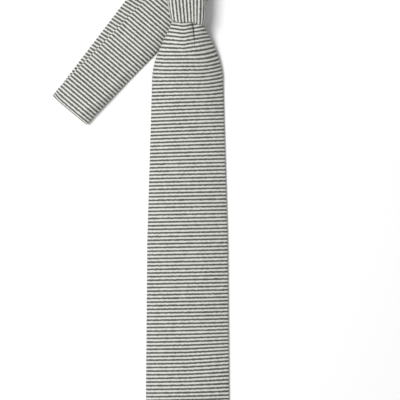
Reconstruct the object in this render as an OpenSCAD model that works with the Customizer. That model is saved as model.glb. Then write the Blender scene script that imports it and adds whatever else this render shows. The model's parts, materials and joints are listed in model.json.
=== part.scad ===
// Necktie, tied in a four-in-hand knot and laid flat with its neck loop folded behind the knot.
// X is across the blade, +Y runs from the blade's tip to the knot, +Z is up from the table.
// The parts are laid out from the middle of the knot's lower edge and moved to the frame at the end.

/* [Front blade] */
// Widest part of the front blade, between its two lower corners
blade_w = 74; // [70:1:80]
// Length of the front blade below the knot
blade_len = 440; // [420:5:470]
// Width of the front blade where it leaves the knot
blade_root_w = 31; // [29:1:33]
// Width of the front blade at the end of its shoulder
blade_shoulder_w = 62; // [58:1:64]
// Length of the shoulder, where the cloth spreads below the knot
blade_shoulder_len = 46; // [42:1:50]

/* [Tail] */
// Widest part of the tail, between its two lower corners
tail_w = 40; // [38:1:44]
// Length of the tail below the knot
tail_len = 305; // [295:5:310]
// Width of the gathered strand that runs through the knot
strand_w = 15; // [13:0.5:15]

/* [Neck loop] */
// Width of the neck band
band_w = 39.5; // [38:0.5:41]
// Direction that the upper layer of the neck band folds in behind the knot, from the X axis
band_upper_angle = 49; // [48:1:50]
// Direction that the lower layer of the neck band folds in behind the knot, from the X axis
band_lower_angle = 52; // [50:1:54]

/* [Knot] */
// Height of the knot's front wrap
knot_h = 38.5; // [36:0.5:40]
// Width of the front wrap along its lower edge
knot_bottom_w = 28.5; // [28:0.5:30]
// Width of the front wrap along its upper edge
knot_top_w = 38.5; // [37:0.5:40]

/* [Cloth] */
// Thickness of one folded and interlined stretch
strip_t = 2.8; // [2.6:0.1:2.8]
// Thickness of the shell cloth with its turned-in allowance
shell_t = 0.7; // [0.5:0.1:0.8]
// Diameter of the sewing thread
thread_d = 0.5; // [0.4:0.1:0.6]
// Width of the keeper loop
keeper_w = 14; // [12:1:18]

/* [Hidden] */

gap = 0.3;                  // air between stretches that move past each other
fit_gap = 0.1;              // air between the interlining and the shell around it
half_t = strip_t / 2;
edge_steps = 4;             // segments in the round edge of a strip
arc_steps = 10;             // segments in a rolled fold
big = 400;                  // wider than any stretch that is cut
cut_h = 40;                 // higher than any layer

// heights of the middle of each layer, from the table up
lay_lower = half_t;
lay_upper = 5.4;
lay_riser = 9.4;
lay_back = 12.5;
lay_strand = 15.5;
lay_cross = 18.5;
lay_throat = 21.6;
lay_front = 24.9;
arm_a_low = 12.8;           // the outer arm where it folds down
arm_b_low = 9.2;            // the inner arm where it folds down
blade_over_tail = 6.4;      // the blade where it lies on the tail

// the knot leans: its left side slants more than its right side
knot_left_bottom = 0.4 - knot_bottom_w / 2;
knot_left_top = -2.2 - knot_top_w / 2;
knot_edge_slope = -0.13;    // its lower edge runs down to the right

// places of the folds and hinges
end_fold = [-101, -75];
fold_out = [14, 76];
fold_in = [27, 56.5];
end_fold_angle = 50;
hinge_y = -6;
tail_hinge_y = -9;

tail_tip_y = -tail_len;
blade_tip_y = -blade_len;

// the frame's origin is under the middle of the whole tie's box
far_left = -118.3;
far_right = 43.5;
far_top = 93.2;
mid = [(far_left + far_right) / 2, (far_top + blade_tip_y) / 2, 0];

// ---- helpers ----
function unit(v) = v / norm(v);
function mix(a, b, s) = a + (b - a) * s;
function smooth(s) = let (c = min(max(s, 0), 1)) c * c * (3 - 2 * c);
function heading(a) = [cos(a), sin(a)];
function side(a) = [sin(a), -cos(a)];
function rise(p, z) = [p[0], p[1], z];

// a station is [left edge, right edge] of a strip, each a point in space
function station(p, z, a, w) = [rise(p - side(a) * w / 2, z), rise(p + side(a) * w / 2, z)];
function middle(s) = (s[0] + s[1]) / 2;
function tangent(st, i) = unit(middle(st[min(i + 1, len(st) - 1)]) - middle(st[max(i - 1, 0)]));

// the outline of a strip's section: a flat shape with round edges
function section(s, t, h, inset) =
    let (w = unit(s[1] - s[0]), n = unit(cross(t, w)), l = s[0] + w * (h + inset), r = s[1] - w * (h + inset))
    concat([for (k = [0:edge_steps]) let (a = -90 + 180 * k / edge_steps) r + h * (cos(a) * w + sin(a) * n)],
           [for (k = [0:edge_steps]) let (a = 90 + 180 * k / edge_steps) l + h * (cos(a) * w + sin(a) * n)]);

// adds a station past each end, so that a cavity runs out of both ends
function overrun(st, d) =
    let (a = tangent(st, 0) * d, e = len(st) - 1, b = tangent(st, e) * d)
    concat([[st[0][0] - a, st[0][1] - a]], st, [[st[e][0] + b, st[e][1] + b]]);

// a side face between two sections, cut in two where the strip twists
function side_face(a, b, c, d, twisted) = twisted ? [[a, b, c], [a, c, d]] : [[a, b, c, d]];

module strip(st, h, inset, twisted) {
    m = 2 * (edge_steps + 1);
    n = len(st);
    polyhedron(
        points = [for (i = [0:n - 1]) each section(st[i], tangent(st, i), h, inset)],
        faces = concat(
            [[for (k = [0:m - 1]) k]],
            [for (i = [0:n - 2]) for (k = [0:m - 1])
                each side_face(i * m + k, (i + 1) * m + k, (i + 1) * m + (k + 1) % m, i * m + (k + 1) % m, twisted)],
            [[for (k = [m - 1:-1:0]) (n - 1) * m + k]]));
}

// a sleeve of shell cloth along the stations, open at both ends
module sleeve(st, twisted = false) difference() {
    strip(st, half_t, 0, twisted);
    strip(overrun(st, 1), half_t - shell_t, shell_t, twisted);
}

module filling(st, twisted = false) strip(st, half_t - shell_t - fit_gap, shell_t + fit_gap, twisted);

// points of a half turn seen from the side: along is the way out, up the height
function half_turn(r) = [for (k = [0:arc_steps]) let (a = 90 - 180 * k / arc_steps) [r * cos(a), r * sin(a)]];

// stations of a fold at p, where the strip runs out in the direction a and turns down to run back
function fold(p, z, r, a, w) = [for (q = half_turn(r)) station(p + heading(a) * q[0], z + q[1], a, w)];

// ---- neck loop ----
fold_r = (lay_upper - lay_lower) / 2;

// a point seen from the end fold, along the fold's own direction and across it
function from_fold(p) = let (q = p - end_fold) [q * heading(end_fold_angle), -q * side(end_fold_angle)];

// one flat layer of the band, from the end fold to its fold behind the knot, longer by extra past the latter
module band_layer(p, a, z, w, h, extra) translate([0, 0, z - h]) linear_extrude(2 * h)
    polygon([[0, -w / 2], from_fold(p + heading(a) * extra + side(a) * w / 2),
             from_fold(p + heading(a) * extra - side(a) * w / 2), [0, w / 2]]);

module band_end_fold(w, h) translate([0, w / 2, lay_lower + fold_r]) rotate([90, 0, 0]) linear_extrude(w) difference() {
    circle(r = fold_r + h, $fn = 48);
    circle(r = fold_r - h, $fn = 48);
    translate([0, -fold_r * 2]) square(fold_r * 4);
}

module band(w, h, extra) translate(rise(end_fold, 0)) rotate([0, 0, end_fold_angle]) {
    band_layer(fold_out, band_lower_angle, lay_lower, w, h, extra);
    band_layer(fold_in, band_upper_angle, lay_upper, w, h, extra);
    band_end_fold(w, h);
}

// the arms leave the top of the knot on each side of the riser, gathered, spread to the band's width, fold down at p
// from z to z_end and meet the band
function arm(exits, p, z, z_end, a) = concat(
    [for (e = exits) [rise(e[0], e[2]), rise(e[1], e[2])]],
    fold(p, (z + z_end) / 2, (z - z_end) / 2, a, band_w),
    [station(p - heading(a) * fold_lap, z_end, a, band_w)]);

fold_lap = 1;               // how far the arms run back below their folds to meet the band
arm_a_exit = [[[-20, 41.5], [-8.5, 40], 18.5], [[-19.5, 48], [-8.2, 45], 17.6], [[-12, 68], [14, 53], 14.6]];
arm_b_exit = [[[9.8, 38.9], [17.5, 38.9], 14], [[10, 44], [25, 39.5], 12]];

arm_a_stations = arm(arm_a_exit, fold_out, arm_a_low, lay_lower, band_lower_angle);
arm_b_stations = arm(arm_b_exit, fold_in, arm_b_low, lay_upper, band_upper_angle);

module band_shell() {
    color("silver") difference() {
        band(band_w, half_t, -fold_lap);
        band(band_w - 2 * shell_t, half_t - shell_t, 1);
    }
}
module band_interlining() {
    color("ivory") band(band_w - 2 * (shell_t + fit_gap), half_t - shell_t - fit_gap, -fold_lap);
}
module arm_a_shell() { color("silver") sleeve(arm_a_stations, true); }
module arm_a_interlining() { color("ivory") filling(arm_a_stations, true); }
module arm_b_shell() { color("silver") sleeve(arm_b_stations, true); }
module arm_b_interlining() { color("ivory") filling(arm_b_stations, true); }

// ---- knot ----
function knot_left(y) = mix(knot_left_bottom, knot_left_top, y / knot_h);
function knot_right(y) = mix(knot_left_bottom + knot_bottom_w, knot_left_top + knot_top_w, y / knot_h);

// a point of the wraps: right is 1 on the right side, dx is the distance from that side, z the height
function wrap_point(y, right, dx, z) =
    let (x = (right == 1 ? knot_right(y) : knot_left(y)) + dx) [x, y + knot_edge_slope * x, z];
function wrap_station(right, dx, z) = [wrap_point(0, right, dx, z), wrap_point(knot_h, right, dx, z)];

// an oval roll at one side of the knot, from z_from to z_to, reaching reach past its middle at dx
function wrap_roll(right, dx, reach, z_from, z_to) =
    let (s = right == 1 ? 1 : -1, zc = (z_from + z_to) / 2, b = (z_from - z_to) / 2)
    [for (k = [0:arc_steps]) let (a = 90 - 180 * k / arc_steps)
        wrap_station(right, dx + s * reach * cos(a), zc + b * sin(a))];

wrap_stations = concat(
    [wrap_station(0, 5, lay_cross)],
    wrap_roll(1, -7.8, 2.3, lay_cross, lay_back),
    wrap_roll(0, 5, 3.5, lay_back, lay_front),
    wrap_roll(1, -5.5, 4, lay_front, lay_riser),
    [wrap_station(1, -5.9, lay_riser)]);

module wrap_shell() { color("gainsboro") sleeve(wrap_stations); }
module wrap_interlining() { color("ivory") filling(wrap_stations); }

// the end of the wraps rises behind the knot, rolls over its top and comes down inside the front wrap
throat_left = -7.5;
throat_right = 8.6;
roll_y = 37.7;              // middle of the roll over the top of the knot
roll_reach = 3.6;
riser_foot_y = 6;
throat_end_y = hinge_y + half_t + gap;
function throat_station(y, z) = [[throat_left, y, z], [throat_right, y, z]];
throat_stations = concat(
    [throat_station(riser_foot_y, lay_riser)],
    [for (k = [0:arc_steps]) let (a = -90 + 180 * k / arc_steps)
        throat_station(roll_y + roll_reach * cos(a),
                       (lay_riser + lay_throat) / 2 + (lay_throat - lay_riser) / 2 * sin(a))],
    [throat_station(throat_end_y, lay_throat)]);

module throat_shell() { color("gainsboro") sleeve(throat_stations); }
module throat_interlining() { color("ivory") filling(throat_stations); }

// ---- the tail's strand through the knot ----
strand_x = -1.1;
strand_top_y = 33;
strand_end_y = tail_hinge_y + half_t + gap;
function strand_station(y) = [[strand_x - strand_w / 2, y, lay_strand], [strand_x + strand_w / 2, y, lay_strand]];
strand_stations = [strand_station(strand_top_y), strand_station(strand_end_y)];

module strand_shell() { color("silver") sleeve(strand_stations); }
module strand_interlining() { color("ivory") filling(strand_stations); }

// ---- flat ends: the blade and the tail ----
// A flat end is its outline seen from above, cut by its side profile.
set_down_y = -316;          // the blade comes down to the table from here, past the tail's tip
function blade_half(y) =
    let (s = (hinge_y - y) / blade_shoulder_len, y2 = hinge_y - blade_shoulder_len,
         corner = blade_tip_y + blade_w / 2, waist = y2 - 140)
    s < 1 ? mix(blade_root_w, blade_shoulder_w, sin(90 * max(s, 0))) / 2
    : y > waist ? mix(blade_shoulder_w, blade_w - 3.6, (y2 - y) / (y2 - waist)) / 2
    : mix(blade_w - 3.6, blade_w, (waist - y) / (waist - corner)) / 2;
function blade_mid(y) =
    let (down = mix(lay_throat, blade_over_tail, smooth((hinge_y - y) / 100)))
    mix(down, half_t, smooth((set_down_y - y) / 36));

function tail_half(y) =
    let (s = (tail_hinge_y - y) / 60, corner = tail_tip_y + tail_w / 2)
    mix(strand_w, mix(tail_w - 8, tail_w, (tail_hinge_y - y) / (tail_hinge_y - corner)), smooth(s)) / 2;
function tail_mid(y) = mix(mix(lay_strand, 9.9, smooth((tail_hinge_y - y) / 24)), half_t,
                           smooth((-34 - y) / 46));

// the y values that a flat end is shaped at, close together only where it bends
function bend_rows(from, to, step) = [for (y = [from:-step:to]) y];
blade_rows = concat(bend_rows(hinge_y, -110, 4), [-192], bend_rows(set_down_y, set_down_y - 36, 4),
                    [blade_tip_y + blade_w / 2]);
tail_rows = concat(bend_rows(tail_hinge_y, -84, 3), [tail_tip_y + tail_w / 2]);

// seen from above, drawn in by inset along both sides and the point
module flat_outline(rows, half, tip, cx, inset) {
    side_pts = [for (i = [0:len(rows) - 1]) [half[i] - inset, rows[i]]];
    last = len(rows) - 1;
    corner = [half[last] - inset, rows[last] + inset * 0.4];
    point = [0, tip + inset * 1.41];
    pts = concat([for (i = [0:last - 1]) side_pts[i]], [corner, point],
                 [for (i = [last:-1:0]) i == last ? [-corner[0], corner[1]] : [-side_pts[i][0], side_pts[i][1]]]);
    translate([cx, 0]) polygon(pts);
}

// seen from the side, between heights low and high from its middle
module flat_profile(rows, mids, tip, low, high) {
    ys = concat(rows, [tip - 1]);
    zs = concat(mids, [mids[len(mids) - 1]]);
    n = len(ys) - 1;
    polygon(concat([for (i = [0:n]) [ys[i], zs[i] + high]], [for (i = [n:-1:0]) [ys[i], zs[i] + low]]));
}

module from_side(w) rotate([90, 0, 90]) translate([0, 0, -w / 2]) linear_extrude(w) children();

module flat_end(rows, half, mids, tip, cx, inset, low, high) intersection() {
    linear_extrude(cut_h) flat_outline(rows, half, tip, cx, inset);
    from_side(blade_w * 1.4) flat_profile(rows, mids, tip, low, high);
}

blade_halves = [for (y = blade_rows) blade_half(y)];
blade_mids = [for (y = blade_rows) blade_mid(y)];
tail_halves = [for (y = tail_rows) tail_half(y)];
tail_mids = [for (y = tail_rows) tail_mid(y)];

seam_w = thread_d + 0.2;
// the back seam runs from just below the bend to the bar tack, where the tipping begins to show
blade_seam_top = -112;
blade_tack_y = blade_tip_y + 84;
tail_seam_top = -86;
tail_tack_y = tail_tip_y + 50;
tipping_t = 0.4;

// the kite of lining that shows between the turned edges on the back of a point
module kite(half_w, tip, top, inset)
    polygon([[0, top - inset * 2.5], [-half_w + inset, tip + half_w + 6], [0, tip + 6 + inset * 1.41],
             [half_w - inset, tip + half_w + 6]]);

module flat_shell(rows, half, mids, tip, cx, seam_top, tack_y, kite_half, kite_x) difference() {
    union() {
        flat_end(rows, half, mids, tip, cx, 0, -half_t, half_t);
        translate([cx - half[0], rows[0], mids[0]]) rotate([0, 90, 0]) cylinder(r = half_t, h = 2 * half[0], $fn = 32);
    }
    difference() {
        flat_end(rows, half, mids, tip, cx, shell_t, -half_t + shell_t, half_t - shell_t);
        translate([-big / 2, rows[0] - 3, 0]) cube([big, 10, cut_h]);
    }
    translate([kite_x, 0, 0]) linear_extrude(shell_t * 2) kite(kite_half, tip, tack_y, 0);
    // the slot of the back seam, in the lower wall only
    intersection() {
        translate([kite_x - seam_w / 2, tack_y - 1, -1]) cube([seam_w, seam_top - tack_y + 1, cut_h]);
        from_side(blade_w * 1.4) flat_profile(rows, mids, tip, -half_t - 1, -half_t + shell_t + 0.02);
    }
}

module flat_filling(rows, half, mids, tip, cx) difference() {
    flat_end(rows, half, mids, tip, cx, shell_t + fit_gap, -half_t + shell_t + fit_gap, half_t - shell_t - fit_gap);
    translate([-big / 2, rows[0] - 3 - fit_gap, 0]) cube([big, 10, cut_h]);
}

// a run of slip stitches along the back seam
stitch_len = 5;
stitch_pitch = 8;
module slip_stitches(x, top, bottom, seam_z) {
    n = floor((top - bottom - stitch_len) / stitch_pitch);
    for (i = [0:n])
        translate([x, top - 1 - i * stitch_pitch, seam_z])
            rotate([90, 0, 0]) cylinder(d = thread_d, h = stitch_len, $fn = 16);
}

module blade_shell() {
    color("lightgray") flat_shell(blade_rows, blade_halves, blade_mids, blade_tip_y, 0, blade_seam_top,
                                  blade_tack_y, blade_w / 2 - 9, 0);
}
module blade_interlining() {
    color("ivory") flat_filling(blade_rows, blade_halves, blade_mids, blade_tip_y, 0);
}
module blade_tipping() {
    color("dimgray") translate([0, 0, shell_t - tipping_t - 0.05])
        linear_extrude(tipping_t) kite(blade_w / 2 - 9, blade_tip_y, blade_tack_y, 0.3);
}
module blade_slip_stitch() {
    color("white") slip_stitches(0, blade_seam_top, set_down_y + 6, blade_over_tail - half_t + shell_t / 2);
}
module blade_bar_tack() {
    color("white") translate([0, blade_tack_y + 4, 0.35]) linear_extrude(0.3) square([seam_w - 0.2, 6], center = true);
}

tail_x = strand_x;
module tail_shell() {
    color("silver") flat_shell(tail_rows, tail_halves, tail_mids, tail_tip_y, tail_x, tail_seam_top,
                               tail_tack_y, tail_w / 2 - 6, tail_x);
}
module tail_interlining() {
    color("ivory") flat_filling(tail_rows, tail_halves, tail_mids, tail_tip_y, tail_x);
}
module tail_tipping() {
    color("dimgray") translate([tail_x, 0, shell_t - tipping_t - 0.05])
        linear_extrude(tipping_t) kite(tail_w / 2 - 6, tail_tip_y, tail_tack_y, 0.3);
}
module tail_slip_stitch() {
    color("white") slip_stitches(tail_x, tail_seam_top, tail_tack_y + 12, shell_t / 2);
}
module tail_bar_tack() {
    color("white") translate([tail_x, tail_tack_y + 4, 0.35]) linear_extrude(0.3)
        square([seam_w - 0.2, 6], center = true);
}

// the keeper lies flat against the back of the blade, caught in the back seam at its middle
keeper_y = -230;
keeper_len = 54;
keeper_t = 0.8;
keeper_top = blade_over_tail - half_t - 0.05;
module keeper_loop() {
    color("silver") translate([0, keeper_y, keeper_top - keeper_t]) linear_extrude(keeper_t) hull()
        for (s = [-1, 1]) translate([s * (keeper_len - keeper_w) / 2, 0]) circle(d = keeper_w, $fn = 48);
}

label_w = 18;
label_h = 12;
label_t = 0.3;
module care_label() {
    color("white") translate([0, keeper_y - 22, keeper_top - label_t / 2])
        cube([label_w, label_h, label_t], center = true);
}

module placed() { translate(-mid) children(); }

placed() wrap_shell();
placed() wrap_interlining();
placed() throat_shell();
placed() throat_interlining();
placed() arm_a_shell();
placed() arm_a_interlining();
placed() arm_b_shell();
placed() arm_b_interlining();
placed() band_shell();
placed() band_interlining();
placed() strand_shell();
placed() strand_interlining();
placed() tail_shell();
placed() tail_interlining();
placed() tail_tipping();
placed() tail_slip_stitch();
placed() tail_bar_tack();
placed() blade_shell();
placed() blade_interlining();
placed() blade_tipping();
placed() blade_slip_stitch();
placed() blade_bar_tack();
placed() keeper_loop();
placed() care_label();
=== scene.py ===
"""A striped cotton necktie, tied in a four-in-hand knot and laid flat on a white table.

Lengths are in millimetres from the middle of the knot's lower edge, with the height taken from the
table. The function place() puts them into the frame, in metres.
"""

import json
import math

import bpy
import numpy as np
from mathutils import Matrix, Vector, noise


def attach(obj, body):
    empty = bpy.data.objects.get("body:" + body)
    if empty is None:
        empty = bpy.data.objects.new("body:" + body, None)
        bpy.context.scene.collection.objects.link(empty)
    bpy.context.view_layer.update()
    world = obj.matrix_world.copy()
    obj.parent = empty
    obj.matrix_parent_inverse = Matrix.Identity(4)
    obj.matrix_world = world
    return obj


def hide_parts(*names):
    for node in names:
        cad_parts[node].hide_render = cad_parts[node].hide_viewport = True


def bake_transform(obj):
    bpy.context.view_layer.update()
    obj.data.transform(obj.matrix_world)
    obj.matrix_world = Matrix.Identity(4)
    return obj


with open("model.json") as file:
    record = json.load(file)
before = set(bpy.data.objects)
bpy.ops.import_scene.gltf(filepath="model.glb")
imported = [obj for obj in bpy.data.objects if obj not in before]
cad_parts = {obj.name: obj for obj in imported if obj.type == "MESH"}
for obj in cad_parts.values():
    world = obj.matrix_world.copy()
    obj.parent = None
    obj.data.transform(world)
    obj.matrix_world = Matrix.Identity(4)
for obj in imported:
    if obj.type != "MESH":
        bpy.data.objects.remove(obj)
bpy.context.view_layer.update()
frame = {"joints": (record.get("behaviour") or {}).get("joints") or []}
bpy.ops.object.select_all(action="DESELECT")

MM = 0.001
joints = {j["name"]: j for j in frame["joints"]}
hinge_y = -6.0         # the blade bends here when it is lifted
tail_hinge_y = -9.0    # and the tail here
hinge_at = joints["blade_lift"]["pos_m"]
origin = np.array((hinge_at[0], hinge_at[1] - hinge_y * MM, 0.0))

# ---- sizes, in millimetres ----
stripe_pitch = 3.175   # an eighth of an inch
blade_w, blade_len = 74.0, 440.0
tail_w, tail_len = 40.0, 305.0
set_down_y = -316.0    # the blade comes down to the table from here
band_w = 39.5
end_in = 5.4           # how far the neck band begins to round before its end
end_out = 2.0          # how far past the place of its fold it reaches
end_puff = 4.4         # how far its upper layer stands up there
strand_w, strand_x = 15.0, -1.1
knot_h = 38.5
cloth_t = 2.6          # a folded and interlined stretch
core_t = 1.0           # the interlining inside it
core_in = 1.1          # how far the interlining stays back from the folded edge

# heights of the middle of each layer
lay_lower, lay_upper, lay_riser, lay_back = 1.4, 5.4, 9.4, 12.5
lay_strand, lay_cross, lay_throat, lay_front = 15.5, 18.5, 21.6, 24.9
arm_a_low, arm_b_low = 12.8, 9.2
blade_over_tail, tail_over_band = 6.4, 9.9

# places of the neck loop's three folds, and the directions in which the cloth runs out to them
end_fold = np.array((-101.0, -75.0))
fold_out = np.array((14.0, 76.0))
fold_in = np.array((27.0, 56.5))
end_angle, upper_angle, lower_angle = 50.0, 49.0, 52.0


def place(points):
    """Points in millimetres from the knot, put into the frame."""
    return np.asarray(points, float) * MM + origin


def mix(a, b, s):
    return a + (b - a) * s


def ease(s):
    s = np.clip(s, 0.0, 1.0)
    return s * s * (3 - 2 * s)


def bell(distance, width):
    """1 at no distance, and close to 0 past twice the width."""
    return np.exp(-(distance / width) ** 2)


def beyond(value):
    """The value where it is above 0, and 0 elsewhere."""
    return np.clip(value, 0, None)


def below(y, start, length):
    """0 above start, rising smoothly to 1 over the length below it."""
    return ease((start - y) / length)


def unit(v):
    return v / np.maximum(np.linalg.norm(v, axis=-1, keepdims=True), 1e-9)


def heading(angle):
    """The direction at an angle from the X axis."""
    a = math.radians(angle)
    return np.array((math.cos(a), math.sin(a)))


def beside(angle):
    """The direction to the right of that."""
    a = math.radians(angle)
    return np.array((math.sin(a), -math.cos(a)))


def ripple(x, y, size, seed):
    """Smooth unevenness between about -1 and 1, in waves of the given size."""
    flat = zip(np.ravel(x), np.ravel(y))
    return np.array([noise.noise((a / size, b / size, seed)) for a, b in flat]).reshape(np.shape(x))


def through(points, per_span):
    """A smooth curve through the points, with per_span places between each two."""
    p = np.asarray(points, float)
    ends = np.vstack((2 * p[0] - p[1], p, 2 * p[-1] - p[-2]))
    s = np.linspace(0, 1, per_span, endpoint=False)[:, None]
    spans = []
    for a, b, c, d in zip(ends, ends[1:], ends[2:], ends[3:]):
        spans.append(0.5 * (2 * b + (c - a) * s + (2 * a - 5 * b + 4 * c - d) * s**2
                            + (3 * b - a - 3 * c + d) * s**3))
    return np.vstack(spans + [p[-1:]])


# ---- finishes ----
class Wire:
    """A shader value. Sums and products of it add Math nodes."""

    def __init__(self, finish, socket):
        self.finish, self.socket = finish, socket

    def math(self, operation, *others):
        return self.finish.add("ShaderNodeMath", {"operation": operation}, dict(enumerate((self,) + others)))

    def __add__(self, other):
        return self.math("ADD", other)

    def __sub__(self, other):
        return self.math("SUBTRACT", other)

    def __rsub__(self, other):
        return self.finish.add("ShaderNodeMath", {"operation": "SUBTRACT"}, {0: other, 1: self})

    def __mul__(self, other):
        return self.math("MULTIPLY", other)

    __radd__ = __add__
    __rmul__ = __mul__

    def sine(self):
        return self.math("SINE")

    def clipped(self, low=0.0, high=1.0):
        return self.math("MAXIMUM", low).math("MINIMUM", high)


class Finish:
    """A material with one Principled shader."""

    def __init__(self, name, **constants):
        self.material = bpy.data.materials.new(name)
        self.material.use_nodes = True
        self.tree = self.material.node_tree
        self.shader = self.tree.nodes["Principled BSDF"]
        for socket, value in constants.items():
            self.shader.inputs[socket.replace("_", " ")].default_value = value

    def add(self, kind, settings=None, sockets=None, out=0):
        node = self.tree.nodes.new(kind)
        for key, value in (settings or {}).items():
            setattr(node, key, value)
        for key, value in (sockets or {}).items():
            if isinstance(value, Wire):
                self.tree.links.new(value.socket, node.inputs[key])
            else:
                node.inputs[key].default_value = value
        return Wire(self, node.outputs[out])

    def feed(self, socket, wire):
        self.tree.links.new(wire.socket, self.shader.inputs[socket])

    def cloth_place(self):
        """The distance across and along the cloth, in millimetres."""
        uv = self.add("ShaderNodeUVMap", {"uv_map": "cloth"})
        across = self.add("ShaderNodeSeparateXYZ", sockets={0: uv})
        along = self.add("ShaderNodeSeparateXYZ", sockets={0: uv}, out=1)
        return across * 1000.0, along * 1000.0

    def speckle(self, x, y, detail=2.0):
        """Noise between 0 and 1 at a place given in its own units."""
        at = self.add("ShaderNodeCombineXYZ", sockets={0: x, 1: y})
        return self.add("ShaderNodeTexNoise", {"noise_dimensions": "2D"},
                        {"Vector": at, "Scale": 1.0, "Detail": detail, "Roughness": 0.55})

    def blend(self, low, high, factor):
        """A colour between two, by a factor from 0 to 1."""
        sockets = {0: factor, 6: (*low, 1), 7: (*high, 1)}
        return self.add("ShaderNodeMix", {"data_type": "RGBA"}, sockets, out=2)

    def bump(self, height, distance, strength):
        sockets = {"Height": height, "Distance": distance, "Strength": strength}
        self.feed("Normal", self.add("ShaderNodeBump", sockets=sockets))


def striped_cotton():
    """Plain weave with weft stripes: off-white yarn, and grey yarn that is uneven along its length."""
    f = Finish("striped_cotton", Roughness=0.88, Sheen_Weight=0.12, Sheen_Roughness=0.6,
               Specular_IOR_Level=0.2)
    across, along = f.cloth_place()
    wander = f.speckle(across * 0.45, along * 0.5)
    slub = f.speckle(across * 0.55, along * 3.1, 3.0)
    warp = f.speckle(across * 2.6, along * 0.25)
    patch = f.speckle(across * 0.05, along * 0.05)
    turn = (along + (wander - 0.5) * 0.9) * (2 * math.pi / stripe_pitch)
    # the stripes have soft edges, are a little wider than the gaps, and thicken with the slubs
    grey = (turn.sine() * 1.6 + 0.58 + (slub - 0.5) * 1.1).clipped()
    in_grey = 0.76 + slub * 0.34 + (patch - 0.5) * 0.08
    in_light = ((warp - 0.38) * 0.3).clipped()
    depth = grey * in_grey + (1.0 - grey) * in_light
    f.feed("Base Color", f.blend(light_yarn, grey_yarn, depth.clipped()))
    # the weave itself: a pick every 0.52 mm and an end every 0.46 mm
    picks = (along * (2 * math.pi / 0.52)).sine() * (across * (2 * math.pi / 0.46)).sine()
    f.bump(picks * 0.35 + slub * 0.9 + warp * 0.4, 0.00012, 0.55)
    return f.material


def brushed_lining(name, colour, shade):
    """Soft interlining with a raised nap."""
    f = Finish(name, Roughness=0.95, Sheen_Weight=0.3, Specular_IOR_Level=0.1)
    across, along = f.cloth_place()
    nap = f.speckle(across * 1.3, along * 1.3, 5.0)
    f.feed("Base Color", f.blend(shade, colour, nap))
    f.bump(nap, 0.0003, 0.6)
    return f.material


def twill_lining(name, colour, shade):
    """Smooth lining with fine slanting twill lines."""
    f = Finish(name, Roughness=0.42, Sheen_Weight=0.1, Specular_IOR_Level=0.45)
    across, along = f.cloth_place()
    rib = ((across + along) * (2 * math.pi / 0.9)).sine() * 0.5 + 0.5
    cloud = f.speckle(across * 0.08, along * 0.08)
    f.feed("Base Color", f.blend(shade, colour, (rib * 0.5 + cloud * 0.5).clipped()))
    f.bump(rib, 0.00008, 0.5)
    return f.material


def spun_thread(name, colour, shade):
    """Sewing thread, with its plies slanting round it."""
    f = Finish(name, Roughness=0.7, Sheen_Weight=0.2, Specular_IOR_Level=0.25)
    across, along = f.cloth_place()
    ply = ((along * 1.6 + across * 3.0) * (2 * math.pi / 0.9)).sine() * 0.5 + 0.5
    f.feed("Base Color", f.blend(shade, colour, ply))
    f.bump(ply, 0.00008, 0.7)
    return f.material


light_yarn = (0.70, 0.70, 0.655)
grey_yarn = (0.052, 0.053, 0.047)
cotton = striped_cotton()
fleece = brushed_lining("interlining", (0.72, 0.70, 0.64), (0.60, 0.58, 0.52))
twill = twill_lining("tipping", (0.20, 0.21, 0.22), (0.12, 0.125, 0.13))
thread = spun_thread("thread", (0.62, 0.62, 0.60), (0.42, 0.42, 0.40))
tape = twill_lining("label", (0.82, 0.82, 0.80), (0.72, 0.72, 0.70))
finish_of = {"striped_cotton": cotton, "interlining": fleece, "tipping": twill, "thread": thread,
             "label": tape}


# ---- meshes ----
def build(name, points, faces, uv_of_corner, slot):
    """A smooth-shaded piece from points in millimetres. uv_of_corner holds each face corner's place on the
    cloth."""
    mesh = bpy.data.meshes.new(name)
    mesh.from_pydata(place(points).tolist(), [], faces)
    layer = mesh.uv_layers.new(name="cloth")
    layer.data.foreach_set("uv", (np.asarray(uv_of_corner, float) * MM).ravel())
    mesh.materials.append(finish_of[slot])
    piece = bpy.data.objects.new(name, mesh)
    bpy.context.scene.collection.objects.link(piece)
    mesh.validate()
    piece.select_set(True)
    bpy.context.view_layer.objects.active = piece
    bpy.ops.object.mode_set(mode="EDIT")
    bpy.ops.mesh.select_all(action="SELECT")
    bpy.ops.mesh.normals_make_consistent(inside=False)
    bpy.ops.object.mode_set(mode="OBJECT")
    bpy.ops.object.shade_smooth_by_angle(angle=math.radians(40))
    piece.select_set(False)
    return piece


def loft(name, rings, across, along, slot):
    """A closed tube through rings of points, capped at both ends. across and along are each point's place on
    the cloth, and across has one more column, for the point where the ring closes."""
    n, m = rings.shape[:2]
    faces, corners = [], []
    cloth = np.stack((across, np.hstack((along, along[:, :1]))), axis=-1)
    for i in range(n - 1):
        for k in range(m):
            q = (k + 1) % m
            faces.append((i * m + k, i * m + q, (i + 1) * m + q, (i + 1) * m + k))
            corners += [cloth[i, k], cloth[i, k + 1], cloth[i + 1, k + 1], cloth[i + 1, k]]
    for i, order in ((0, range(m - 1, -1, -1)), (n - 1, range(m))):
        faces.append(tuple(i * m + k for k in order))
        corners += [cloth[i, k] for k in order]
    return build(name, rings.reshape(-1, 3), faces, corners, slot)


edge_cols = 5          # columns in a strip's rounded edge


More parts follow.
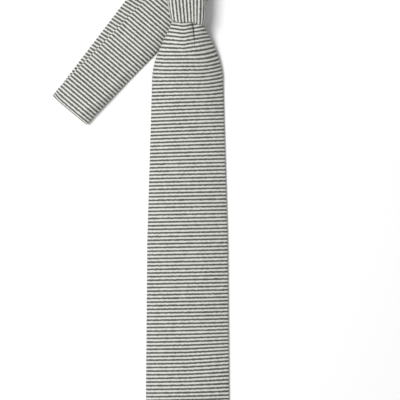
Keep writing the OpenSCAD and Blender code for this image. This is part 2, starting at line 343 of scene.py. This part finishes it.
def section(left, right, up, thick, top_at, top_lift, under_at, under_lift):
    """Rings of a flat strip with rounded folded edges. left and right are its edges. top_at and under_at say
    where across, from 0 to 1, the columns of its two faces are, and top_lift and under_lift raise them."""
    width = np.linalg.norm(right - left, axis=1)[:, None]
    w = (right - left) / width
    r = np.minimum(thick / 2, width / 2.2)
    span = width - 2 * r
    a = np.radians(np.linspace(90, -90, edge_cols + 2)[1:-1])
    top_x, top_z = r + top_at * span, r + top_lift
    right_x, right_z = width - r + np.cos(a) * r, np.sin(a) * r
    under_x, under_z = r + under_at[:, ::-1] * span, -r + under_lift[:, ::-1]
    left_x, left_z = r - np.cos(a) * r, -np.sin(a) * r
    xs = np.hstack((top_x, right_x, under_x, left_x))
    zs = np.hstack((top_z, right_z, under_z, left_z))
    rings = left[:, None, :] + xs[..., None] * w[:, None, :] + zs[..., None] * up[:, None, :]
    steps = np.hypot(np.diff(xs, axis=1), np.diff(zs, axis=1))
    around = np.hstack((np.zeros((len(xs), 1)), np.cumsum(steps, axis=1)))
    closing = around[:, -1:] + np.hypot(xs[:, -1:] - xs[:, :1], zs[:, -1:] - zs[:, :1])
    return rings, np.hstack((around, closing)), xs


def facing(left, right):
    """The direction that the front of a strip faces, and its middle line."""
    middle = (left + right) / 2
    run = unit(np.gradient(middle, axis=0))
    return unit(np.cross(run, unit(right - left))), middle


def length_along(line):
    """The distance along a line to each of its points."""
    return np.concatenate(([0.0], np.cumsum(np.linalg.norm(np.diff(line, axis=0), axis=1))))


def declare(left, right):
    """Works out how wide and long the piece's cloth is from its edges; nothing uses the result."""
    width = np.linalg.norm(right - left, axis=1) * MM
    along = length_along((left + right) / 2) * MM


def strip(name, left, right, slot, part=slice(None), cols=30, thick=cloth_t, crown=0.3, roughness=0.15,
          seed=1.0, skew=None, droop=None, seam=True, held="folded", rests_on=()):
    """One stretch of the tie as a flattened tube. part is which of the stations it takes, and the stripes run
    on from the stretch before it. droop holds how far each station's first edge hangs, and how wide the
    hanging part is."""
    up, middle = facing(left, right)
    width = np.linalg.norm(right - left, axis=1)
    along = length_along(middle + up * thick / 2)
    at = np.tile(np.linspace(0, 1, cols), (len(left), 1))
    x = (at - 0.5) * width[:, None]
    y = np.tile(along[:, None], (1, cols))
    top = crown * (1 - (2 * at - 1) ** 4) + roughness * ripple(x, y, 16.0, seed)
    under_at, under = back_seam(width, cols) if seam else (at, np.zeros_like(x))
    rings, across, xs = section(left, right, up, thick, at, top, under_at, under)
    if droop is not None:
        depth, reach = droop
        rings[..., 2] -= depth[:, None] * np.clip(1 - xs / reach[:, None], 0, 1) ** 1.5
    place_along = np.tile(along[:, None], (1, rings.shape[1]))
    if skew is not None:
        place_along = place_along + skew(xs, place_along)
    across = across - width[:, None] / 2
    piece = loft(name, rings[part], across[part], place_along[part], slot)
    declare(left[part], right[part])
    return piece


seam_half = 0.35       # half the back seam's width
seam_deep = 0.55
seam_rise, seam_rise_w = 0.22, 9.0    # the cloth on the seam's lapped side is a little thicker


def back_seam(width, cols):
    """Where the under face's columns are, and how far each is raised, with the sewn groove down the
    middle."""
    half = (cols - 4) // 2
    gap = (seam_half / width)[:, None]
    one_side = np.linspace(0, 1, half)[None, :]
    at = np.hstack((one_side * (0.5 - gap), 0.5 - gap * 0.8, 0.5 - gap * 0.3,
                    0.5 + gap * 0.3, 0.5 + gap * 0.8, 0.5 + gap + one_side * (0.5 - gap)))
    lift = np.zeros_like(at)
    lift[:, half:half + 4] = seam_deep
    from_seam = (at[:, half + 4:] - 0.5) * width[:, None]
    lift[:, half + 4:] = seam_rise * np.clip(1 - from_seam / seam_rise_w, 0, 1)
    return at, lift


def core(name, left, right, part=slice(None), droop=None):
    """The interlining inside a stretch."""
    w = unit(right - left)
    if droop is not None:
        depth, reach = droop
        inner = np.maximum(reach - core_in, 0.5)
        droop = depth * (inner / reach) ** 1.5, inner
    return strip(name, left + w * core_in, right - w * core_in, "interlining", part, cols=14, thick=core_t,
                 crown=0.0, roughness=0.0, droop=droop, seam=False)


# ---- the knot ----
knot_left_bottom, knot_right_bottom = -13.9, 14.6
knot_left_top, knot_right_top = -21.4, 17.0
edge_slope = -0.13     # the lower edge runs down to the right
edge_sag, sag_slope = 1.7, 0.065
left_sag, left_sag_x, left_sag_w = 1.3, -8.0, 4.5
dimple_lift, dimple_x, dimple_w = 1.4, 4.5, 4.0
left_lean, front_lean = -7.5, 2.4     # how the stripes lean at the front wrap's left and right
wrap_start = 0.9       # shifts the stripes along the wraps


def wrap_edge(y, on_right, dx, z):
    """A point of the wraps, whose lower edge sags beside the dimple and is lifted over it."""
    s = y / knot_h
    low, high = (knot_right_bottom, knot_right_top) if on_right else (knot_left_bottom, knot_left_top)
    x = mix(low, high, s) + dx
    sag = edge_sag + sag_slope * x
    sag += left_sag * bell(x - left_sag_x, left_sag_w) - dimple_lift * bell(x - dimple_x, dimple_w)
    return (x, y + edge_slope * x - sag * (1 - s), z)


def wrap_flat(on_right, start, end, z, count):
    """Stations across the knot at one height. start is a distance from the side on_right, and end is one from
    the other side."""
    across = knot_right_bottom - knot_left_bottom, knot_right_top - knot_left_top
    stations = []
    for s in np.linspace(0, 1, count)[1:-1]:
        pair = []
        for y, wide in zip((0, knot_h), across):
            far = end + (-wide if on_right else wide)
            pair.append(wrap_edge(y, on_right, mix(start, far, s), z))
        stations.append(pair)
    return np.array(stations)


def wrap_roll(on_right, dx, reach, z_from, z_to, count=14):
    """Stations round one side of the knot."""
    sign, middle, half = (1 if on_right else -1), (z_from + z_to) / 2, (z_from - z_to) / 2
    turn = np.radians(np.linspace(90, -90, count))
    return np.array([[wrap_edge(y, on_right, dx + sign * reach * math.cos(a), middle + half * math.sin(a))
                      for y in (0, knot_h)] for a in turn])


def wrap_skew(across, along):
    """The stripes of the front wrap lean less than its left side does."""
    lean = mix(left_lean, front_lean, np.clip((along - front_from) / (front_to - front_from), 0, 1))
    return 0.6 * lean * (across / knot_h - 0.5) + wrap_start


wrap_runs = [
    wrap_flat(False, 4.0, -7.8, lay_cross, 18),
    wrap_roll(True, -7.8, 2.3, lay_cross, lay_back),
    wrap_flat(True, -7.8, 5.0, lay_back, 18),
    wrap_roll(False, 5.0, 3.8, lay_back, lay_front, 20),
    wrap_flat(False, 5.0, -5.5, lay_front, 30),
    wrap_roll(True, -5.5, 4.6, lay_front, lay_riser, 20),
]
wraps = np.concatenate(wrap_runs)
wrap_length = length_along(wraps.mean(axis=1))
wrap_marks = np.cumsum([len(r) for r in wrap_runs])
front_from, front_to = wrap_length[wrap_marks[3]], wrap_length[wrap_marks[4]]
knot_wraps = strip("knot_wraps", wraps[:, 0], wraps[:, 1], "striped_cotton", cols=34, crown=0.5,
                   roughness=0.3, seed=4.0, skew=wrap_skew, seam=False, rests_on=["knot_throat", "arm_a"])
knot_wraps_core = core("knot_wraps_interlining", wraps[:, 0], wraps[:, 1])

throat_left, throat_right = -8.2, 9.2
throat_spread = 0.6
throat_end = 8.0
roll_y, roll_reach, riser_foot = 37.7, 3.6, 6.0


def throat_path():
    """Up behind the knot, over its top and down inside the front wrap: y and height."""
    turn = np.radians(np.linspace(-90, 90, 18))
    height, half = (lay_riser + lay_throat) / 2, (lay_throat - lay_riser) / 2
    path = [(y, lay_riser) for y in np.linspace(riser_foot, roll_y, 12)[:-1]]
    path += [(roll_y + roll_reach * math.cos(a), height + half * math.sin(a)) for a in turn]
    path += [(y, lay_throat) for y in np.linspace(roll_y, throat_end, 12)[1:]]
    return np.array(path)


throat = throat_path()
spread = throat_spread * np.sin(np.linspace(0, math.pi, len(throat)))
throat_l = np.column_stack((throat_left - spread, throat))
throat_r = np.column_stack((throat_right + spread, throat))
knot_throat = strip("knot_throat", throat_l, throat_r, "striped_cotton", cols=18, crown=0.5, roughness=0.2,
                    seed=6.0, seam=False, rests_on=["neck_band", "tail"])
knot_throat_core = core("knot_throat_interlining", throat_l, throat_r)


# ---- the front blade ----
shoulder_len, waist_len = 46.0, 140.0
root_w, shoulder_w, waist_w = 31.0, 62.0, blade_w - 3.6
inner_w = 18.8         # inside the knot
shoulder_y = hinge_y - shoulder_len
waist_y = shoulder_y - waist_len
corner_y = -blade_len + blade_w / 2
blade_top = 9.0


def blade_half(y):
    """Half the blade's width, from inside the knot to its point."""
    s = np.clip((hinge_y - y) / shoulder_len, 0, 1)
    shoulder = mix(root_w, shoulder_w, np.sin(s * math.pi / 2)) / 2
    upper = mix(shoulder_w, waist_w, (shoulder_y - y) / waist_len) / 2
    lower = mix(waist_w, blade_w, (waist_y - y) / (waist_y - corner_y)) / 2
    point = blade_w / 2 * (y + blade_len) / (corner_y + blade_len)
    throat_in = mix(root_w / 2 - 0.4, inner_w / 2, ease((y + 3.2) / 5.5))
    half = np.where(s < 1, shoulder, np.where(y > waist_y, upper, lower))
    half = np.where(y < corner_y, point, half)
    return np.where(y > hinge_y, np.minimum(throat_in, root_w / 2), half)


def blade_middle(y):
    """The height of the blade's middle: down from the knot, along the tail, and down to the table."""
    down = mix(lay_throat, blade_over_tail, below(y, hinge_y, 100))
    return mix(down, cloth_t / 2 + 0.1, below(y, set_down_y, 36))


def stripe_bow(x, y):
    """How far the weft stripes rise from straight across, at a place on the blade."""
    right = 0.17 * beyond(x + 3) * (1 - below(y, -16, 20))
    spread = 0.0085 * beyond(x - 8) ** 2 * below(y, -12, 20) * (1 - below(y, -30, 50))
    left = 0.16 * beyond(-5 - x) * (1 - below(y, -4, 28))
    far_left = 0.005 * beyond(-15 - x) ** 2 * below(y, -10, 20) * (1 - below(y, -30, 30))
    tilt = x * (0.018 + 0.016 * bell(y + 90, 34)) * below(y, -30, 45)
    low = 0.035 * beyond(x) * bell(y + 298, 22)
    return right + spread + left + far_left + tilt + low


def rows_between(spans):
    """y values from high to low. Each span, (from, to, step), has its own spacing."""
    rows = []
    for top, bottom, step in spans:
        rows.extend(np.linspace(top, bottom, max(2, int(round((top - bottom) / step)) + 1))[:-1])
    return np.array(rows + [spans[-1][1]])


blade_rows = rows_between([(blade_top, -50, 0.8), (-50, -120, 2.0), (-120, corner_y + 6, 4.0),
                           (corner_y + 6, -blade_len + 1.2, 1.5)])
# the dimple's crease
crease_x_top, crease_x_end, crease_end_y = 4.6, 6.9, -20.5
crease_deep = 3.0
dip_deep, dip_w = 0.9, 3.2            # the wide dip on both sides of it
crowd_half = 2.4                      # the mesh is finer this near to it


def crease_x(y):
    return mix(crease_x_top, crease_x_end, y / crease_end_y)


def front_relief(x, y):
    """Soft unevenness of the blade's front."""
    billow = 0.9 * bell(x + 3, 7) * bell(y + 10, 12)
    return billow + 0.16 * ripple(x, y, 22.0, 9.0)


# heights of the blade's edges, from the knot down: the left one lies over the neck band
edge_y = (-440, -352, -316, -90, -60, -45, -32, -20, -12, -6, 0, 6)
left_edge_z = (1.4, 1.4, 1.6, 1.8, 2.8, 5.0, 9.4, 10.4, 13.0, 17.0, 20.0, 21.6)
right_edge_z = (1.4, 1.4, 1.6, 1.6, 1.8, 2.5, 3.4, 5.2, 9.5, 16.0, 19.5, 21.6)


def blade_sag(x, y):
    """The cloth's height over its middle line, which is below 0 at both sides of the tail, in the dimple's
    crease, and where the knot holds it."""
    left = np.interp(y, edge_y, left_edge_z)
    right = np.interp(y, edge_y, right_edge_z)
    drop = np.maximum(blade_middle(y) - np.where(x < 0, left, right), 0)
    fade = ease((y - crease_end_y + 5) / 20)
    crease_w = 0.55 + 0.45 * ease((y + 7) / 6)
    from_crease = x - crease_x(y)
    crease = (crease_deep * bell(from_crease, crease_w) + dip_deep * bell(from_crease, dip_w)) * fade
    tuck = 0.9 * bell(y + 1, 3) + 1.8 * bell(x + 10.5, 2.4) * bell(y - 0.2, 2.2)
    return -drop * np.minimum(np.abs(x) / blade_half(y), 1) ** 2.5 - crease - tuck


def near_crease(y, half, cols):
    """Columns from 0 to 1 across, of which the middle two fifths crowd round the crease."""
    even = np.linspace(0, 1, cols)
    rows = []
    for middle, h in zip(np.clip(crease_x(y), -3, 7.5), half):
        crowded = 0.5 + (middle - crowd_half) / h / 2, 0.5 + (middle + crowd_half) / h / 2
        rows.append(np.interp(even, (0, 0.3, 0.7, 1), (0, *crowded, 1)))
    return np.array(rows)


kite_top = -blade_len + 84            # the turned edges part below this, and show the tipping
flap_t = 0.6
flap_over = 0.72       # the turned edges are at least this share of the margin wide


def opening(rows, half, kite, kite_half, margin, cols):
    """The back of a flat end: where its columns are, and how far each is raised. The turned edges meet in a
    sewn groove, and part below the kite's top to show the tipping."""
    wide = np.where(rows > kite, seam_half, np.minimum(kite_half(rows), half - margin * flap_over))
    wide = np.minimum(np.clip(wide, seam_half, None), half * 0.6)
    g = (wide / half / 2)[:, None]
    step = 0.06 / half[:, None]
    side = np.linspace(0, 1, (cols - 8) // 2)[None, :] * (0.5 - g)
    at = np.hstack((side, 0.5 - g + step, 0.5 - g * 0.7 + step, 0.5 - g * 0.4, 0.5 - g * 0.1,
                    0.5 + g * 0.1, 0.5 + g * 0.4, 0.5 + g * 0.7 - step, 0.5 + g - step, 0.5 + g + side))
    n = side.shape[1]
    lift = np.zeros_like(at)
    lift[:, n:n + 8] = flap_t
    outer = (at[:, n + 8:] - 0.5 - g) * 2 * half[:, None]
    lift[:, n + 8:] = 0.2 * np.clip(1 - outer / seam_rise_w, 0, 1) * (rows[:, None] > kite)
    return at, lift


class FlatEnd:
    """The blade or the tail, seen from above as a half width at each y, and from the side as a height."""

    def __init__(self, half_of, height_of, middle_x, tip, corner, kite, margin, rests_on):
        self.half_of, self.height_of, self.middle_x = half_of, height_of, middle_x
        self.tip, self.corner, self.kite, self.margin = tip, corner, kite, margin
        self.rests_on = rests_on

    def edges(self, rows, half, lift=0.0):
        z = self.height_of(rows) + lift
        left = np.column_stack((self.middle_x - half, rows, z))
        return left, np.column_stack((self.middle_x + half, rows, z))

    def kite_half(self, rows):
        """Half the width of the opening that the turned edges leave."""
        return (self.kite - rows) / (self.kite - self.corner) * (self.half_of(self.corner) - self.margin)

    def layer(self, name, rows, slot, cols, thick, inset=0.0, creased=False, relief=None, sag=None,
              bow=None, back=False):
        """A closed layer of cloth: the shell with its folded edges, or the interlining inside it."""
        half = np.maximum(self.half_of(rows) - inset, 0.9)
        thin = np.clip((rows - self.tip) / 12.0, 0.35, 1.0)[:, None]
        left, right = self.edges(rows, half)
        slope = np.gradient(self.height_of(rows), rows)
        up = unit(np.column_stack((np.zeros(len(rows)), -slope, np.ones(len(rows)))))
        even = np.tile(np.linspace(0, 1, cols), (len(rows), 1))
        calm = ease((-rows - 22) / 16)[:, None]
        at = mix(near_crease(rows, half, cols), even, calm) if creased else even
        under_at, lift = at, np.zeros_like(at)
        if back:
            seam_at, lift = opening(rows, half, self.kite, self.kite_half, self.margin, cols)
            under_at = mix(at, seam_at, calm) if creased else seam_at
            lift = lift * (calm if creased else 1.0)
        x = (at * 2 - 1) * half[:, None]
        top = 0.25 * (1 - (2 * at - 1) ** 4)
        if relief:
            top = top + relief(x, np.tile(rows[:, None], (1, cols)))
        rings, across, xs = section(left, right, up, thick * thin, at, top * thin, under_at, lift * thin)
        local = xs - half[:, None]
        ys = np.tile(rows[:, None], (1, rings.shape[1]))
        if sag:
            rings[..., 2] += sag(local, ys)
        along = np.tile(length_along((left + right) / 2)[:, None], (1, rings.shape[1]))
        if bow:
            along = along + bow(local, ys)
        piece = loft(name, rings, across - half[:, None], along, slot)
        declare(left, right)
        return piece

    def tipping(self, name):
        """The lining panel in the opening between the turned edges."""
        rows = rows_between([(self.kite - 3, self.tip + self.margin * 1.1, 2.0)])
        half = np.minimum(self.kite_half(rows), self.half_of(rows) - self.margin * flap_over)
        half = np.minimum(np.maximum(half, 0.6) + 1.2, self.half_of(rows) * 0.9)
        left, right = self.edges(rows, half, flap_t - cloth_t / 2 - 0.1)
        return strip(name, left, right, "tipping", cols=16, thick=0.4, crown=0.0, roughness=0.05, seed=20.0,
                     seam=False, held="laid", rests_on=["table"])


front = FlatEnd(blade_half, blade_middle, middle_x=0.0, tip=-blade_len, corner=corner_y, kite=kite_top,
                margin=9.0, rests_on=["tail", "neck_band", "table"])
blade = front.layer("front_blade", blade_rows, "striped_cotton", 96, cloth_t, creased=True,
                    relief=front_relief, sag=blade_sag, bow=stripe_bow, back=True)
blade_core = front.layer("blade_interlining", blade_rows, "interlining", 40, core_t, core_in, creased=True,
                         sag=blade_sag)

# ---- the tail ----
tail_corner_y = -tail_len + tail_w / 2
tail_kite_top = -tail_len + 50
tail_top_w = tail_w - 8
strand_top = 33.0


def tail_half(y):
    """Half the tail's width, from the gathered strand to its point."""
    s = below(y, tail_hinge_y, 60)
    full = mix(tail_top_w, tail_w, (tail_hinge_y - y) / (tail_hinge_y - tail_corner_y))
    half = mix(strand_w, full, s) / 2
    return np.where(y < tail_corner_y, tail_w / 2 * (y + tail_len) / (tail_corner_y + tail_len), half)


def tail_middle(y):
    """The height of the tail's middle: over the neck band, and down to the table."""
    first = mix(lay_strand, tail_over_band, below(y, tail_hinge_y, 24))
    return mix(first, cloth_t / 2 + 0.05, below(y, -34, 46))


tail_rows = rows_between([(strand_top, -90, 2.0), (-90, tail_corner_y + 4, 5.0),
                          (tail_corner_y + 4, -tail_len + 1.2, 1.5)])
narrow = FlatEnd(tail_half, tail_middle, middle_x=strand_x, tip=-tail_len, corner=tail_corner_y,
                 kite=tail_kite_top, margin=6.0, rests_on=["neck_band", "table"])
tail = narrow.layer("tail", tail_rows, "striped_cotton", 44, cloth_t, back=True)
tail_core = narrow.layer("tail_interlining", tail_rows, "interlining", 14, core_t, core_in)

# ---- the neck loop ----
def across_band(p, z, angle):
    """The two edges of the band where its middle is at p, the lower right one first."""
    b = beside(angle) * band_w / 2
    return np.array([(*(p + b), z), (*(p - b), z)])


def run_between(a, b, count):
    """Stations of a straight run, without the two that it joins."""
    return mix(a[None], b[None], np.linspace(0, 1, count)[1:-1, None, None])


def turn_over(p, z_from, z_to, angle, reach, count):
    """Stations of a fold at p, from one height to the other. reach is how far it goes past p."""
    turn = np.radians(np.linspace(90, -90, count))
    return np.array([across_band(p + heading(angle) * reach * math.cos(a),
                                 mix(z_to, z_from, 0.5 + 0.5 * math.sin(a)), angle) for a in turn])


def arm(exits, fold_start):
    """Stations of an arm, gathered at the knot and spread to the band's width at its fold."""
    near_edge = through([e[0] for e in exits] + [fold_start[0]], 10)[:-1]
    far_edge = through([e[1] for e in exits] + [fold_start[1]], 10)[:-1]
    return np.stack((near_edge, far_edge), axis=1)


lower_lean = -0.12     # how far askew the lower layer's stripes run
corner_curl, curl_w = 0.075, 9.0


def loop_skew(across, along):
    """The lower layer is pulled a little askew, and the stripes curl at the corner of the rolled end."""
    lower = ease((along - lower_start) / 15) * ease((end_start - along) / 12)
    curl = bell(along - end_start - 10, curl_w) * beyond(across - band_w + curl_w) ** 2
    return lower_lean * (across - band_w / 2) * lower - corner_curl * curl


# where the arms leave the knot: pairs of edge points, from the knot outwards
arm_a_exits = [((-8.5, 39.6, 19.0), (-20, 39.2, 19.0)), ((-8.2, 45, 17.6), (-19.5, 48, 17.6)),
               ((14, 53, 14.6), (-12, 68, 14.6))]
arm_b_exits = [((17.2, 37.5, 14.4), (9.8, 37.5, 14.4)), ((25, 39.5, 12), (10, 44, 12))]

outer_turn = turn_over(fold_out, arm_a_low, lay_lower, lower_angle, (arm_a_low - lay_lower) / 2, 20)
inner_turn = turn_over(fold_in, lay_upper, arm_b_low, upper_angle, (arm_b_low - lay_upper) / 2, 14)
end_turn = turn_over(end_fold + heading(end_angle) * end_in, lay_lower, lay_upper + end_puff, end_angle,
                     -end_out - end_in, 26)
arm_a_run = arm(arm_a_exits, outer_turn[0])
arm_b_run = arm(arm_b_exits, inner_turn[-1])[::-1]
lower_run = run_between(outer_turn[-1], end_turn[0], 42)
upper_run = run_between(end_turn[-1], inner_turn[0], 62)
settled = ease(np.linspace(0, 1, len(upper_run)) / 0.4)
upper_run[:, :, 2] = lay_upper + end_puff * (1 - settled)[:, None]
runs = [arm_a_run, outer_turn, lower_run, end_turn, upper_run, inner_turn, arm_b_run]
loop = np.concatenate(runs)
marks = np.cumsum([len(r) for r in runs])
loop_length = length_along(loop.mean(axis=1))
lower_start, end_start = loop_length[marks[1]], loop_length[marks[2]]

# the upper layer's free edge hangs to the table past the lower layer, and has no puff at the rolled end
past_end = beyond(loop_length - end_start)
hang = np.minimum(0.054 * past_end, 3.6) + beyond(loop[:, 0, 2] - lay_upper)
hang = hang * (1 - ease((loop_length - loop_length[marks[4]] + 40) / 30))
band_droop = hang, np.maximum(0.12 * past_end, 11 - 0.14 * past_end)

arm_a_part, fold_a_part = slice(0, marks[0] + 1), slice(marks[0], marks[1] + 2)
band_part = slice(marks[1] + 1, marks[4])
fold_b_part, arm_b_part = slice(marks[4] - 1, marks[5] + 1), slice(marks[5], None)


def loop_strip(name, part, rests_on, skew=None, droop=None):
    return strip(name, loop[:, 0], loop[:, 1], "striped_cotton", part, skew=skew, droop=droop,
                 rests_on=[rests_on])


def loop_core(name, part, droop=None):
    return core(name, loop[:, 0], loop[:, 1], part, droop)


arm_a = loop_strip("arm_a", arm_a_part, "arm_b")
fold_a = loop_strip("outer_fold", fold_a_part, "table")
neck_band = loop_strip("neck_band", band_part, "table", loop_skew, band_droop)
fold_b = loop_strip("inner_fold", fold_b_part, "neck_band")
arm_b = loop_strip("arm_b", arm_b_part, "neck_band")
arm_a_core = loop_core("arm_a_interlining", arm_a_part)
fold_a_core = loop_core("outer_fold_interlining", fold_a_part)
neck_band_core = loop_core("neck_band_interlining", band_part, band_droop)
fold_b_core = loop_core("inner_fold_interlining", fold_b_part)
arm_b_core = loop_core("arm_b_interlining", arm_b_part)


# ---- back of the blade and tail: tipping, stitches, keeper, label ----
blade_tipping = front.tipping("blade_tipping")
tail_tipping = narrow.tipping("tail_tipping")


def thread_run(name, paths, radius=0.22, sides=6):
    """Short round threads along the given paths, in one piece."""
    points, faces, corners = [], [], []
    for path in paths:
        p = np.asarray(path, float)
        run = unit(np.gradient(p, axis=0))
        side = unit(np.cross(run, (0.31, 0.17, 0.93)))
        up = np.cross(side, run)
        base = len(points)
        for i, (c, s, u) in enumerate(zip(p, side, up)):
            r = radius * (0.55 if i in (0, len(p) - 1) else 1.0)
            for k in range(sides):
                a = 2 * math.pi * k / sides
                points.append(c + r * (math.cos(a) * s + math.sin(a) * u))
        for i in range(len(p) - 1):
            for k in range(sides):
                q = (k + 1) % sides
                a, b = base + i * sides, base + (i + 1) * sides
                faces.append((a + k, a + q, b + q, b + k))
                corners += [(k, i), (k + 1, i), (k + 1, i + 1), (k, i + 1)]
        for i, order in ((0, range(sides - 1, -1, -1)), (len(p) - 1, range(sides))):
            faces.append(tuple(base + i * sides + k for k in order))
            corners += [(k, i) for k in order]
    return build(name, points, faces, corners, "thread")


def slip_stitches(name, x, top, bottom, height_of, pitch=6.0, reach=3.6):
    """Stitches that cross the back seam's groove, a little slanted, one every pitch."""
    paths = []
    for y in np.arange(top, bottom, -pitch):
        s = np.linspace(0, 1, 7)
        ys = y - s * reach
        zs = height_of(ys) - cloth_t / 2 + 0.34 - 0.34 * np.sin(s * math.pi) + 0.12
        paths.append(np.column_stack((x + mix(-0.42, 0.42, s), ys, zs)))
    return thread_run(name, paths)


def bar_tack(name, x, y, z, width=7.0, turns=13):
    """A short bar of close thread turns over two long stitches."""
    s = np.linspace(0, 1, turns * 4 + 1)
    zigzag = np.column_stack((x + mix(-width / 2, width / 2, s), y + 0.85 * np.sin(s * turns * 2 * math.pi),
                              z - 0.12 * np.cos(s * turns * 4 * math.pi)))
    few = s[::8]
    base = [np.column_stack((x + mix(-width / 2, width / 2, few), few * 0 + y + off, few * 0 + z + 0.2))
            for off in (-0.3, 0.3)]
    return thread_run(name, [zigzag] + base, 0.17)


blade_stitches = slip_stitches("blade_slip_stitch", 0.0, -44, kite_top + 4, blade_middle)
tail_stitches = slip_stitches("tail_slip_stitch", strand_x, -20, tail_kite_top + 3, tail_middle)
blade_tack = bar_tack("blade_bar_tack", 0.0, kite_top + 1.2, blade_middle(kite_top) - cloth_t / 2 + 0.05)
tail_tack = bar_tack("tail_bar_tack", strand_x, tail_kite_top + 1.2, 0.35)

keeper_y, keeper_w, keeper_len = -230.0, 14.0, 54.0
keeper_x = np.linspace(-keeper_len / 2, keeper_len / 2, 30)
keeper_z = blade_over_tail - cloth_t / 2 - 0.62 + 0.25 * (np.abs(keeper_x) / (keeper_len / 2)) ** 6
keeper_up = np.column_stack((keeper_x, keeper_x * 0 + keeper_y + keeper_w / 2, keeper_z))
keeper_down = np.column_stack((keeper_x, keeper_x * 0 + keeper_y - keeper_w / 2, keeper_z))
keeper = strip("keeper_loop", keeper_up, keeper_down, "striped_cotton", cols=14, thick=0.8, crown=0.05,
               roughness=0.04, seed=22.0, seam=False, rests_on=["tail"])

label_w = 18.0
label_rows = np.linspace(keeper_y - 15, keeper_y - 28, 12)
label_z = blade_over_tail - cloth_t / 2 - 0.22 - 0.1 * np.sin(np.linspace(0, math.pi, 12))
label_l = np.column_stack((label_rows * 0 - label_w / 2, label_rows, label_z))
label_r = np.column_stack((label_rows * 0 + label_w / 2, label_rows, label_z))
care_label = strip("care_label", label_l, label_r, "label", cols=12, thick=0.26, crown=0.0, roughness=0.03,
                   seed=23.0, seam=False, held="laid", rests_on=["tail"])

# ---- what moves with what ----
rides = {
    "knot": [knot_wraps, knot_wraps_core, knot_throat, knot_throat_core],
    "loop_band": [neck_band, neck_band_core],
    "tail_lower": [tail_tipping, tail_stitches, tail_tack],
    "front_blade": [blade_tipping, blade_stitches, blade_tack, keeper, care_label],
}
for body, group in rides.items():
    for piece in group:
        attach(piece, body)

for piece in (blade, blade_core):
    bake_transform(piece)
for piece in (tail, tail_core):
    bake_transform(piece)
for piece in (fold_a, fold_a_core):
    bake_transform(piece)
for piece in (fold_b, fold_b_core):
    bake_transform(piece)
for piece in (arm_a, arm_a_core):
    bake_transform(piece)
for piece in (arm_b, arm_b_core):
    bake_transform(piece)

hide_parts("wrap_shell")
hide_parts("wrap_interlining")
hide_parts("throat_shell")
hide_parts("throat_interlining")
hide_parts("blade_shell")
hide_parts("blade_interlining")
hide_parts("blade_tipping")
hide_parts("blade_slip_stitch")
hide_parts("blade_bar_tack")
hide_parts("keeper_loop")
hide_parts("care_label")
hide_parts("tail_shell", "strand_shell")
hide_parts("tail_interlining", "strand_interlining")
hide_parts("tail_tipping")
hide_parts("tail_slip_stitch")
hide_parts("tail_bar_tack")
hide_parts("band_shell")
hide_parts("band_interlining")
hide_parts("arm_a_shell")
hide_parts("arm_a_interlining")
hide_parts("arm_b_shell")
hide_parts("arm_b_interlining")

# ---- table, light and camera ----
bpy.ops.mesh.primitive_plane_add(size=6, location=(0, 0, 0))
table = bpy.context.object
table.name = "table"
white = Finish("table_white", Base_Color=(0.95, 0.95, 0.95, 1), Roughness=0.9, Specular_IOR_Level=0.1)
table.data.materials.append(white.material)

world = bpy.data.worlds.new("soft_room")
bpy.context.scene.world = world
world.use_nodes = True
world.node_tree.nodes["Background"].inputs[0].default_value = (1, 1, 1, 1)
world.node_tree.nodes["Background"].inputs[1].default_value = 0.42


def soft_light(name, position, size, power):
    light = bpy.data.lights.new(name, "AREA")
    light.shape = "DISK"
    light.size = size
    light.energy = power
    lamp = bpy.data.objects.new(name, light)
    lamp.location = position
    lamp.rotation_mode = "QUATERNION"
    lamp.rotation_quaternion = Vector(position).to_track_quat("Z", "Y")
    bpy.context.scene.collection.objects.link(lamp)


soft_light("window", (-0.85, 0.3, 1.8), 0.95, 34)
bpy.context.scene.view_settings.view_transform = "Standard"

view_w = 0.350
lens, sensor = 400.0, 36.0
view_middle = place((10.94, -155.75, 0))
camera_data = bpy.data.cameras.new("camera")
camera_data.lens = lens
camera_data.sensor_width = sensor
camera = bpy.data.objects.new("camera", camera_data)
camera.location = (view_middle[0], view_middle[1], view_w * lens / sensor)
bpy.context.scene.collection.objects.link(camera)
bpy.context.scene.camera = camera
